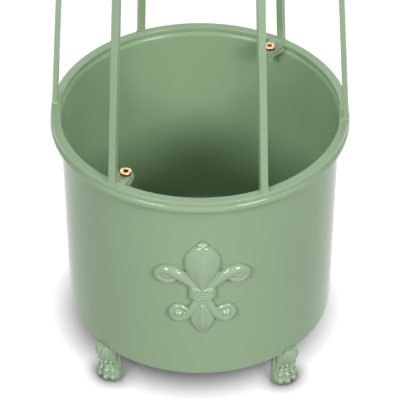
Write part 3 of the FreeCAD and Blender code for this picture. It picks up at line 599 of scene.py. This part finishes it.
def powder_coat_group():
    """Sprayed and baked powder: faint mottle in colour and gloss, fine orange peel in height."""
    tree, start, end = group(
        "powder coat",
        [("Tint", "NodeSocketColor", (0.3, 0.4, 0.3, 1.0)),
         ("Roughness", "NodeSocketFloat", 0.25),
         ("Peel Scale", "NodeSocketFloat", 300.0),
         ("Mottle", "NodeSocketFloat", 0.05)],
        [("Color", "NodeSocketColor"), ("Roughness", "NodeSocketFloat"),
         ("Height", "NodeSocketFloat")])
    link = tree.links.new
    place = node(tree, "ShaderNodeTexCoord")
    drift = node(tree, "ShaderNodeTexNoise", Scale=MOTTLE_SCALE, Detail=3.0,
                 Roughness=0.5)
    link(place.outputs["Object"], drift.inputs["Vector"])
    peel = node(tree, "ShaderNodeTexNoise", Detail=2.0, Roughness=0.45)
    link(place.outputs["Object"], peel.inputs["Vector"])
    link(start.outputs["Peel Scale"], peel.inputs["Scale"])
    lift = node(tree, "ShaderNodeMapRange")
    lift.inputs["From Min"].default_value = MOTTLE_BAND[0]
    lift.inputs["From Max"].default_value = MOTTLE_BAND[1]
    link(drift.outputs["Fac"], lift.inputs["Value"])
    spread = node(tree, "ShaderNodeMath", operation="MULTIPLY_ADD")
    link(lift.outputs["Result"], spread.inputs[0])
    link(start.outputs["Mottle"], spread.inputs[1])
    shift = node(tree, "ShaderNodeMath", operation="MULTIPLY_ADD")
    shift.inputs[1].default_value = -0.5
    shift.inputs[2].default_value = 1.0
    link(start.outputs["Mottle"], shift.inputs[0])
    link(shift.outputs[0], spread.inputs[2])
    tone = node(tree, "ShaderNodeHueSaturation")
    link(start.outputs["Tint"], tone.inputs["Color"])
    link(spread.outputs[0], tone.inputs["Value"])
    rough = node(tree, "ShaderNodeMath", operation="MULTIPLY")
    link(start.outputs["Roughness"], rough.inputs[0])
    link(spread.outputs[0], rough.inputs[1])
    link(tone.outputs["Color"], end.inputs["Color"])
    link(rough.outputs[0], end.inputs["Roughness"])
    link(peel.outputs["Fac"], end.inputs["Height"])
    return tree


def plain_material(name):
    """A new material with its tree and Principled shader."""
    material = bpy.data.materials.new(name)
    material.use_nodes = True
    tree = material.node_tree
    return material, tree, tree.nodes["Principled BSDF"]


def coat_material(name, coat, tint, roughness, gloss, peel_scale, mottle, depth):
    """One powder-coated finish."""
    material, tree, shader = plain_material(name)
    shader.inputs["Specular IOR Level"].default_value = gloss
    link = tree.links.new
    effect = tree.nodes.new("ShaderNodeGroup")
    effect.node_tree = coat
    effect.inputs["Tint"].default_value = tint
    effect.inputs["Roughness"].default_value = roughness
    effect.inputs["Peel Scale"].default_value = peel_scale
    effect.inputs["Mottle"].default_value = mottle
    bump = node(tree, "ShaderNodeBump", Strength=1.0)
    bump.inputs["Distance"].default_value = depth
    link(effect.outputs["Height"], bump.inputs["Height"])
    link(effect.outputs["Color"], shader.inputs["Base Color"])
    link(effect.outputs["Roughness"], shader.inputs["Roughness"])
    link(bump.outputs["Normal"], shader.inputs["Normal"])
    return material


def metal_material(name, tint, roughness, grain_scale):
    """Turned or plated metal with fine grain in its gloss."""
    material, tree, shader = plain_material(name)
    link = tree.links.new
    place = node(tree, "ShaderNodeTexCoord")
    grain = node(tree, "ShaderNodeTexNoise", Scale=grain_scale, Detail=3.0)
    link(place.outputs["Object"], grain.inputs["Vector"])
    spread = node(tree, "ShaderNodeMapRange")
    spread.inputs["To Min"].default_value = roughness * GRAIN_SPREAD[0]
    spread.inputs["To Max"].default_value = roughness * GRAIN_SPREAD[1]
    link(grain.outputs["Fac"], spread.inputs["Value"])
    link(spread.outputs["Result"], shader.inputs["Roughness"])
    tone = node(tree, "ShaderNodeValToRGB")
    shade = [value * share for value, share in zip(tint, GRAIN_SHADE)]
    tone.color_ramp.elements[0].position = GRAIN_STOPS[0]
    tone.color_ramp.elements[0].color = (*shade, 1.0)
    tone.color_ramp.elements[1].position = GRAIN_STOPS[1]
    tone.color_ramp.elements[1].color = tint
    link(grain.outputs["Fac"], tone.inputs["Fac"])
    link(tone.outputs["Color"], shader.inputs["Base Color"])
    shader.inputs["Metallic"].default_value = 1.0
    return material


def brass_material(name, top, settings):
    """Plated screw: bright face with a warm blush; painted shade darkens the socket and the head's
    side.
    """
    material, tree, shader = plain_material(name)
    link = tree.links.new
    place = node(tree, "ShaderNodeTexCoord")
    blush = node(tree, "ShaderNodeTexNoise", Scale=BRASS_BLUSH_SCALE, Detail=3.0)
    link(place.outputs["Object"], blush.inputs["Vector"])
    face = node(tree, "ShaderNodeValToRGB")
    face.color_ramp.elements[0].position = BRASS_STOPS[0]
    face.color_ramp.elements[0].color = settings.brass
    face.color_ramp.elements[1].position = BRASS_STOPS[1]
    face.color_ramp.elements[1].color = settings.brass_blush
    link(blush.outputs["Fac"], face.inputs["Fac"])
    # painted shade: below the face the colour turns dark by height, in the socket and down the
    # side
    height = node(tree, "ShaderNodeSeparateXYZ")
    link(place.outputs["Object"], height.inputs["Vector"])
    level = node(tree, "ShaderNodeMapRange")
    level.inputs["From Min"].default_value = top - BRASS_PAINTED_SHADE_BAND[0]
    level.inputs["From Max"].default_value = top - BRASS_PAINTED_SHADE_BAND[1]
    link(height.outputs["Z"], level.inputs["Value"])
    tone = node(tree, "ShaderNodeMix", data_type="RGBA")
    tone.inputs["A"].default_value = settings.brass_painted_shade
    link(level.outputs["Result"], tone.inputs["Factor"])
    link(face.outputs["Color"], tone.inputs["B"])
    link(tone.outputs["Result"], shader.inputs["Base Color"])
    grain = node(tree, "ShaderNodeMapRange")
    grain.inputs["To Min"].default_value = BRASS_ROUGHNESS[0]
    grain.inputs["To Max"].default_value = BRASS_ROUGHNESS[1]
    link(blush.outputs["Fac"], grain.inputs["Value"])
    link(grain.outputs["Result"], shader.inputs["Roughness"])
    shader.inputs["Metallic"].default_value = 1.0
    return material


def finish_of(slot):
    return bpy.data.materials["finish " + slot]


def dress(piece, slot, body, *nodes):
    """Material, body and replaced nodes of a new piece."""
    piece.data.materials.clear()
    piece.data.materials.append(finish_of(slot))
    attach(piece, body)
    if nodes:
        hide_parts(*nodes)
    return piece


# ---- operators ------------------------------------------------------------------------------
class PLANTER_OT_finishes(bpy.types.Operator):
    """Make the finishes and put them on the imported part's pieces"""
    bl_idname = "planter.finishes"
    bl_label = "Coat the pieces"

    def execute(self, context):
        settings = context.scene.planter_coat
        coat = powder_coat_group()
        scale = 1.0 / settings.peel_size
        rough = settings.gloss_roughness
        depth = settings.peel_depth
        for slot, (light, share, gloss, mottle) in COATS.items():
            # painted light: each slot's copy of the coat is made lighter or darker to stand in for
            # how its pieces are lit
            tint = (*[light * value for value in settings.tint[:3]], 1.0)
            coat_material("finish " + slot, coat, tint, rough * share, gloss, scale, mottle,
                          depth)
        brass_material("finish screw_brass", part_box("lug_screw_front")[1][2], settings)
        metal_material("finish zinc_steel", colour(188, 191, 193), ZINC_ROUGHNESS,
                       ZINC_GRAIN)
        slots = {}
        for entry in frame["record"]["subparts"]:
            slots[entry["node"]] = entry["material_slot"]
        for name, piece in frame["nodes"].items():
            material = finish_of(slots[name])
            for k in range(max(1, len(piece.material_slots))):
                if piece.material_slots:
                    piece.material_slots[k].material = material
                else:
                    piece.data.materials.append(material)
        return {"FINISHED"}


class PLANTER_OT_lily(bpy.types.Operator):
    """Cast lily on the front: petal, drop, scrolled arms, ribbed collar and bud"""
    bl_idname = "planter.lily"
    bl_label = "Cast the lily"

    def place(self, aside, drop, out):
        return (aside * MM, -out * MM, LILY_TIP - drop * MM)

    def leaf(self, sections):
        return drawn([(self.place(0.0, drop, 0.0), half * MM, bulge * MM)
                      for drop, half, bulge in sections], sides=LILY_SIDES)

    def arm(self, points, side):
        piece = tube([(side * aside * MM, -ARM_OUT, LILY_TIP - drop * MM, radius * MM)
                      for aside, drop, radius in points])
        bpy.ops.object.mode_set(mode="EDIT")
        bpy.ops.mesh.select_all(action="SELECT")
        bpy.ops.transform.resize(value=(1.0, ARM_FLATNESS, 1.0), center_override=(0, 0, 0))
        bpy.ops.object.mode_set(mode="OBJECT")
        return piece

    def rib(self, drop):
        points = []
        for aside, out, sag in RIB_LINE:
            points.append((*self.place(aside, drop + sag, out), RIB_RADIUS * MM))
        return tube(points)

    def lay_on_wall(self, piece):
        """Wrap the relief round the tapered wall, with its back pressed flat on the wall."""
        for point in piece.data.vertices:
            around = wall_radius(point.co.z)
            out = around + LILY_GAP + max(0.0, -point.co.y)
            angle = point.co.x / around
            point.co.x = out * math.sin(angle)
            point.co.y = -out * math.cos(angle)

    def execute(self, context):
        parts = [self.leaf(LILY_PETAL), self.leaf(LILY_ALMOND), self.leaf(LILY_DROP),
                 self.leaf(LILY_TEAR)]
        for side in (-1, 1):
            parts.append(self.arm(LILY_UPPER, side))
            parts.append(self.arm(LILY_LOWER, side))
            for aside, drop, wide, deep, high in LILY_KNOBS:
                parts.append(bead(self.place(side * aside, drop, 0.0),
                                  (wide * MM, deep * MM, high * MM)))
        for drop in LILY_RIBS:
            parts.append(self.rib(drop))
        middle = sum(LILY_RIBS) / len(LILY_RIBS)
        parts.append(bead(self.place(0.0, middle, 0.0), [size * MM for size in COLLAR_CORE]))
        for aside, drop, out, radius in LILY_BUD:
            parts.append(bead(self.place(aside, drop, out), [radius * MM] * 3))
        lily = cast_together("lily", parts, LILY_VOXEL, LILY_PASSES)
        self.lay_on_wall(lily)
        smooth(lily, CAST_CREASE)
        dress(lily, "casting_coat", "pot", "fleur_ornament")
        return {"FINISHED"}


class PLANTER_OT_feet(bpy.types.Operator):
    """Four cast paw feet: toes, ankle rings, leafy knee, back plate and pad"""
    bl_idname = "planter.feet"
    bl_label = "Cast the feet"

    def upright(self, sections):
        return drawn([((FOOT_FACE + middle * MM, 0.0, height * MM), ahead * MM, aside * MM)
                      for height, middle, ahead, aside in sections], sides=FOOT_SIDES)

    def curl(self, turn, height, reach, radius):
        ahead = reach * math.cos(math.radians(turn))
        aside = reach * math.sin(math.radians(turn))
        return bead((FOOT_FACE + ahead * MM, aside * MM, height * MM), [radius * MM] * 3)

    def toe(self, turn):
        ahead = math.cos(math.radians(turn))
        aside = math.sin(math.radians(turn))
        points = []
        for begin, far, wide, height, radius in TOE_LINE:
            points.append((FOOT_FACE + (begin + far * ahead) * MM, wide * aside * MM,
                           height * MM, radius * MM))
        knuckle = points[1][:3]
        tip = points[-1][:3]
        return [tube(points), bead(knuckle, [size * MM for size in KNUCKLE]),
                bead(tip, [size * MM for size in TOE_TIP])]

    def lobe(self, turn):
        ahead = math.cos(math.radians(turn))
        aside = math.sin(math.radians(turn))
        points = []
        for height, middle, reach, radius in LOBE_LINE:
            points.append((FOOT_FACE + (middle + reach * ahead) * MM, reach * aside * MM,
                           height * MM, radius * MM))
        return tube(points)

    def wall_space(self):
        """The room of the pot's folded edge, which the knee stands against."""
        deselect()
        bpy.ops.mesh.primitive_cylinder_add(
            vertices=WALL_STEPS, radius=wall_radius(WALL_FOOT) + SADDLE_GAP, depth=WALL_ROOM,
            location=(0, 0, WALL_FOOT - SADDLE_GAP + WALL_ROOM / 2))
        return settle(bpy.context.object)

    def execute(self, context):
        parts = [self.upright(FOOT_LEG), self.upright(FOOT_WEB)]
        for place in FRILL:
            parts.append(self.curl(*place))
        for turn in TOE_TURNS:
            parts.extend(self.toe(turn))
        for turn in LOBE_TURNS:
            parts.append(self.lobe(turn))
        for height, middle, ahead, aside in ANKLE_RINGS:
            parts.append(bead((FOOT_FACE + middle * MM, 0.0, height * MM),
                              (ahead * MM, aside * MM, ANKLE_THICK * MM)))
        relief = cast_together("paw", parts, PAW_VOXEL, PAW_PASSES)
        sawn(relief, (0, 0, SOLE_GAP), (0, 0, -1))
        sawn(relief, (FOOT_FACE - RELIEF_SINK, 0, 0), (-1, 0, 0))
        pick(relief)
        bpy.ops.object.mode_set(mode="EDIT")
        bpy.ops.mesh.select_all(action="SELECT")
        bpy.ops.mesh.quads_convert_to_tris(ngon_method="CLIP")
        bpy.ops.object.mode_set(mode="OBJECT")
        hollowed(relief, self.wall_space())
        smooth(relief, CAST_CREASE)
        half = FOOT_WIDTH / 2
        plate = block((FOOT_FACE - FOOT_PLATE, -half, SOLE_GAP), (FOOT_FACE, half, FOOT_TOP),
                      PLATE_EDGE)
        pad = block((FOOT_FACE - FOOT_PLATE - PAD_LENGTH, -half, FOOT_TOP - PAD_THICK),
                    (FOOT_FACE - RELIEF_SINK, half, FOOT_TOP), PLATE_EDGE)
        smooth(plate, FLAT_CREASE)
        smooth(pad, FLAT_CREASE)
        pattern = joined("paw", [plate, pad, relief])
        for k, azimuth in enumerate(FOOT_AZIMUTHS):
            foot = turned(twin(pattern, "foot_%d" % (k + 1)), azimuth)
            dress(foot, "casting_coat", "pot", FOOT_NODES[k])
        pick(pattern)
        bpy.ops.object.delete()
        return {"FINISHED"}


class PLANTER_OT_screws(bpy.types.Operator):
    """Two hexagon-socket screws with rolled threads"""
    bl_idname = "planter.screws"
    bl_label = "Turn the screws"

    def pattern(self, bottom, top):
        """One screw on the pot's axis."""
        seat = top - HEAD_HEIGHT
        outline = [(0.0, bottom), (SHANK_RADIUS - THREAD_DEPTH, bottom)]
        z = bottom + THREAD_PITCH / 2
        while z < seat - THREAD_PITCH:
            outline.append((SHANK_RADIUS, z))
            outline.append((SHANK_RADIUS, z + THREAD_CREST * THREAD_PITCH))
            outline.append((SHANK_RADIUS - THREAD_DEPTH, z + THREAD_FLANK * THREAD_PITCH))
            z += THREAD_PITCH
        outline.append((SHANK_RADIUS, seat))
        outline.append((HEAD_RADIUS - HEAD_EDGE, seat))
        outline.append((HEAD_RADIUS, seat + HEAD_EDGE))
        outline.extend(bow((HEAD_RADIUS - HEAD_ROUND, top - HEAD_ROUND), HEAD_ROUND, 0, 90,
                           HEAD_STEPS))
        outline.append((RECESS_OUTER, top))
        outline.append((RECESS_INNER, top - RECESS_DEPTH))
        outline.append((0.0, top - RECESS_DEPTH))
        screw = lathe("screw", outline, steps=SCREW_STEPS)
        deselect()
        bpy.ops.mesh.primitive_cylinder_add(
            vertices=6, radius=SOCKET_RADIUS, depth=2 * SOCKET_DEPTH, location=(0, 0, top),
            rotation=(0, 0, math.radians(SOCKET_TURN)))
        return hollowed(screw, settle(bpy.context.object))

    def execute(self, context):
        low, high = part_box("lug_screw_front")
        pattern = self.pattern(low[2], high[2])
        for end in ("front", "rear"):
            low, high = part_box("lug_screw_" + end)
            screw = twin(pattern, "screw_" + end)
            middle = (Vector(low) + Vector(high)) / 2
            screw.data.transform(Matrix.Translation((middle[0], middle[1], 0.0)))
            smooth(screw, FLAT_CREASE)
            dress(screw, "screw_brass", "screw_" + end, "lug_screw_" + end)
        pick(pattern)
        bpy.ops.object.delete()
        return {"FINISHED"}


class PLANTER_OT_welds(bpy.types.Operator):
    """Weld beads where the trellis bars, rings, hoops and lugs meet"""
    bl_idname = "planter.welds"
    bl_label = "Weld the trellis"

    def run(self, start, end, radius, beats):
        """A hand-laid bead from start to end whose width comes and goes."""
        points = []
        for k in range(beats + 1):
            share = k / beats
            spot = Vector(start).lerp(Vector(end), share)
            swell = SWELL_MEAN
            for height, beat, begin in SWELL_WAVES:
                swell += height * math.sin(beat * k + begin)
            points.append((*spot, radius * swell))
        return tube(points)

    def foot(self, radius, z):
        """Round a bar that stands on a ring: two sides and the inner face."""
        side = BAR_WIDTH / 2 + WELD_GAP
        inner = radius - BAR_THICK / 2 - WELD_GAP
        outer = radius + BAR_THICK / 2
        left, right, back = WELD_RADII
        runs = [self.run((inner, side, z), (outer, side, z), left, SIDE_BEATS),
                self.run((inner, -side, z), (outer, -side, z), right, SIDE_BEATS),
                self.run((inner, -side, z), (inner, side, z), back, INNER_BEATS)]
        return cast_together("weld", runs, WELD_VOXEL, WELD_PASSES)

    def hoop(self, radius, z):
        """Down both edges of a bar that a hoop passes."""
        side = BAR_WIDTH / 2
        runs = []
        for aside in (-side, side):
            runs.append(self.run((radius, aside, z + HOOP_WELD_END),
                                 (radius, aside, z + HOOP_HEIGHT - HOOP_WELD_END), HOOP_WELD,
                                 HOOP_BEATS))
        return cast_together("weld", runs, WELD_VOXEL, WELD_PASSES)

    def lug(self):
        """Along the root of a lug, on the base ring's inner edge."""
        radius = RING_INNER_RADIUS + WELD_LIFT
        z = RING_TOP - LUG_WELD_SINK
        piece = self.run((radius, -LUG_HALF, z), (radius, LUG_HALF, z), LUG_WELD, LUG_BEATS)
        return cast_together("weld", [piece], WELD_VOXEL, WELD_PASSES)

    def execute(self, context):
        shoulder = RING_TOP + UPRIGHT_HEIGHT
        top_radius = UPRIGHT_RADIUS - UPRIGHT_HEIGHT * UPRIGHT_LEAN
        turns = [TRELLIS_TURN + 360.0 / UPRIGHT_COUNT * k for k in range(UPRIGHT_COUNT)]
        sets = [("foot", self.foot(UPRIGHT_RADIUS, RING_TOP + WELD_LIFT), turns),
                ("shoulder", self.foot(top_radius, shoulder - WELD_LIFT), turns),
                ("crown", self.foot(top_radius, shoulder + RING_HEIGHT + WELD_LIFT), turns)]
        for name, rise in zip(("lower", "upper"), HOOP_RISES):
            inner = UPRIGHT_RADIUS - rise * UPRIGHT_LEAN - BAR_THICK / 2
            sets.append((name, self.hoop(inner, RING_TOP + rise), turns))
        sets.append(("lug", self.lug(), [turns[k] + LUG_TURN for k in LUG_UPRIGHTS]))
        for name, pattern, places in sets:
            for k, azimuth in enumerate(places):
                weld = turned(twin(pattern, "weld_%s_%d" % (name, k + 1)), azimuth)
                smooth(weld, WELD_CREASE)
                dress(weld, "trellis_coat", "trellis")
            pick(pattern)
            bpy.ops.object.delete()
        return {"FINISHED"}


class PLANTER_OT_stage(bpy.types.Operator):
    """Floor, lamps, room light and the camera"""
    bl_idname = "planter.stage"
    bl_label = "Set the stage"

    def execute(self, context):
        settings = context.scene.planter_stage
        self.floor(settings)
        self.room(context, settings)
        self.lamps(settings)
        self.camera(context, settings)
        context.scene.view_settings.view_transform = "Standard"
        return {"FINISHED"}

    def floor(self, settings):
        deselect()
        bpy.ops.mesh.primitive_plane_add(size=FLOOR_SIZE, location=(0, 0, 0))
        floor = named("stage_floor")
        material, tree, shader = plain_material("stage white")
        link = tree.links.new
        shader.inputs["Base Color"].default_value = (FLOOR_TONE,) * 3 + (1.0,)
        shader.inputs["Roughness"].default_value = 0.9
        shader.inputs["Specular IOR Level"].default_value = 0.1
        path = node(tree, "ShaderNodeLightPath")
        seen = node(tree, "ShaderNodeMath", operation="MAXIMUM")
        link(path.outputs["Is Camera Ray"], seen.inputs[0])
        link(path.outputs["Is Glossy Ray"], seen.inputs[1])
        through = node(tree, "ShaderNodeMath", operation="MAXIMUM")
        link(seen.outputs[0], through.inputs[0])
        link(path.outputs["Is Transmission Ray"], through.inputs[1])
        # painted contact shade: ambient occlusion darkens the floor's glow close round the feet
        shade = node(tree, "ShaderNodeAmbientOcclusion", samples=SHADE_SAMPLES)
        shade.inputs["Distance"].default_value = settings.shade_reach
        soft = node(tree, "ShaderNodeMath", operation="POWER")
        soft.inputs[1].default_value = SHADE_POWER
        link(shade.outputs["AO"], soft.inputs[0])
        # painted shadow: a soft round shade, centred behind the pot's axis, darkens the floor's
        # glow
        place = node(tree, "ShaderNodeTexCoord")
        offset = node(tree, "ShaderNodeVectorMath", operation="SUBTRACT")
        offset.inputs[1].default_value = SHADE_MIDDLE
        link(place.outputs["Object"], offset.inputs[0])
        reach = node(tree, "ShaderNodeVectorMath", operation="LENGTH")
        link(offset.outputs["Vector"], reach.inputs[0])
        fade = node(tree, "ShaderNodeMapRange", interpolation_type="SMOOTHSTEP")
        fade.inputs["From Min"].default_value = settings.shade_inner
        fade.inputs["From Max"].default_value = settings.shade_outer
        fade.inputs["To Min"].default_value = settings.shade_depth
        link(reach.outputs["Value"], fade.inputs["Value"])
        both = node(tree, "ShaderNodeMath", operation="MULTIPLY")
        link(soft.outputs[0], both.inputs[0])
        link(fade.outputs["Result"], both.inputs[1])
        depth = node(tree, "ShaderNodeMath", operation="MULTIPLY")
        link(both.outputs[0], depth.inputs[0])
        link(through.outputs[0], depth.inputs[1])
        link(depth.outputs[0], shader.inputs["Emission Strength"])
        shader.inputs["Emission Color"].default_value = (FLOOR_GLOW,) * 3 + (1.0,)
        floor.data.materials.append(material)

    def room(self, context, settings):
        world = bpy.data.worlds.new("stage room")
        context.scene.world = world
        world.use_nodes = True
        tree = world.node_tree
        light = tree.nodes["Background"]
        light.inputs["Color"].default_value = (1.0, 1.0, 1.0, 1.0)
        path = node(tree, "ShaderNodeLightPath")
        seen = node(tree, "ShaderNodeMath", operation="MAXIMUM")
        tree.links.new(path.outputs["Is Camera Ray"], seen.inputs[0])
        tree.links.new(path.outputs["Is Transmission Ray"], seen.inputs[1])
        both = node(tree, "ShaderNodeMath", operation="MAXIMUM")
        tree.links.new(seen.outputs[0], both.inputs[0])
        tree.links.new(path.outputs["Is Glossy Ray"], both.inputs[1])
        level = node(tree, "ShaderNodeMapRange")
        level.inputs["To Min"].default_value = settings.room_light
        level.inputs["To Max"].default_value = 1.0
        tree.links.new(both.outputs[0], level.inputs["Value"])
        tree.links.new(level.outputs["Result"], light.inputs["Strength"])

    def lamps(self, settings):
        aim = Vector(LAMP_AIM)
        for name, place, wide, high, setting, share in LAMPS:
            lamp = bpy.data.lights.new(name, "AREA")
            lamp.shape = "RECTANGLE"
            lamp.energy = share * getattr(settings, setting)
            lamp.size = wide
            lamp.size_y = high
            holder = bpy.data.objects.new(name, lamp)
            bpy.context.collection.objects.link(holder)
            holder.location = place
            holder.rotation_euler = (aim - Vector(place)).to_track_quat("-Z", "Y").to_euler()

    def camera(self, context, settings):
        eye = bpy.data.cameras.new("stage_camera")
        eye.lens = settings.lens
        eye.sensor_width = SENSOR_WIDTH
        eye.clip_start = CLIP_NEAR
        eye.clip_end = CLIP_FAR
        holder = bpy.data.objects.new("stage_camera", eye)
        context.collection.objects.link(holder)
        turn = Matrix.Rotation(settings.heading, 4, "Z")
        place = Matrix.Translation((0.0, -settings.distance, settings.height))
        look = Matrix.Rotation(math.pi / 2 - settings.pitch, 4, "X")
        tilt = Matrix.Rotation(settings.roll, 4, "Z")
        holder.matrix_world = turn @ place @ look @ tilt
        context.scene.camera = holder


class PLANTER_PT_panel(bpy.types.Panel):
    """The planter's steps and settings"""
    bl_idname = "PLANTER_PT_panel"
    bl_label = "Planter with trellis"
    bl_space_type = "VIEW_3D"
    bl_region_type = "UI"
    bl_category = "Planter"

    def draw(self, context):
        for step in STEPS:
            self.layout.operator(step.bl_idname)
        for settings in (context.scene.planter_coat, context.scene.planter_stage):
            box = self.layout.box()
            for key in settings.bl_rna.properties.keys():
                if key not in ("rna_type", "name"):
                    box.prop(settings, key)


STEPS = (PLANTER_OT_finishes, PLANTER_OT_lily, PLANTER_OT_feet, PLANTER_OT_screws,
         PLANTER_OT_welds, PLANTER_OT_stage)
GROUPS = {"planter_coat": CoatSettings, "planter_stage": StageSettings}


def register():
    for kind in (*GROUPS.values(), *STEPS, PLANTER_PT_panel):
        bpy.utils.register_class(kind)
    for name, kind in GROUPS.items():
        setattr(bpy.types.Scene, name, PointerProperty(type=kind))


def unregister():
    for name in GROUPS:
        delattr(bpy.types.Scene, name)
    for kind in reversed((*GROUPS.values(), *STEPS, PLANTER_PT_panel)):
        bpy.utils.unregister_class(kind)


def main():
    register()
    bpy.ops.planter.finishes()
    bpy.ops.planter.lily()
    bpy.ops.planter.feet()
    bpy.ops.planter.screws()
    bpy.ops.planter.welds()
    bpy.ops.planter.stage()


if __name__ == "__main__":
    main()
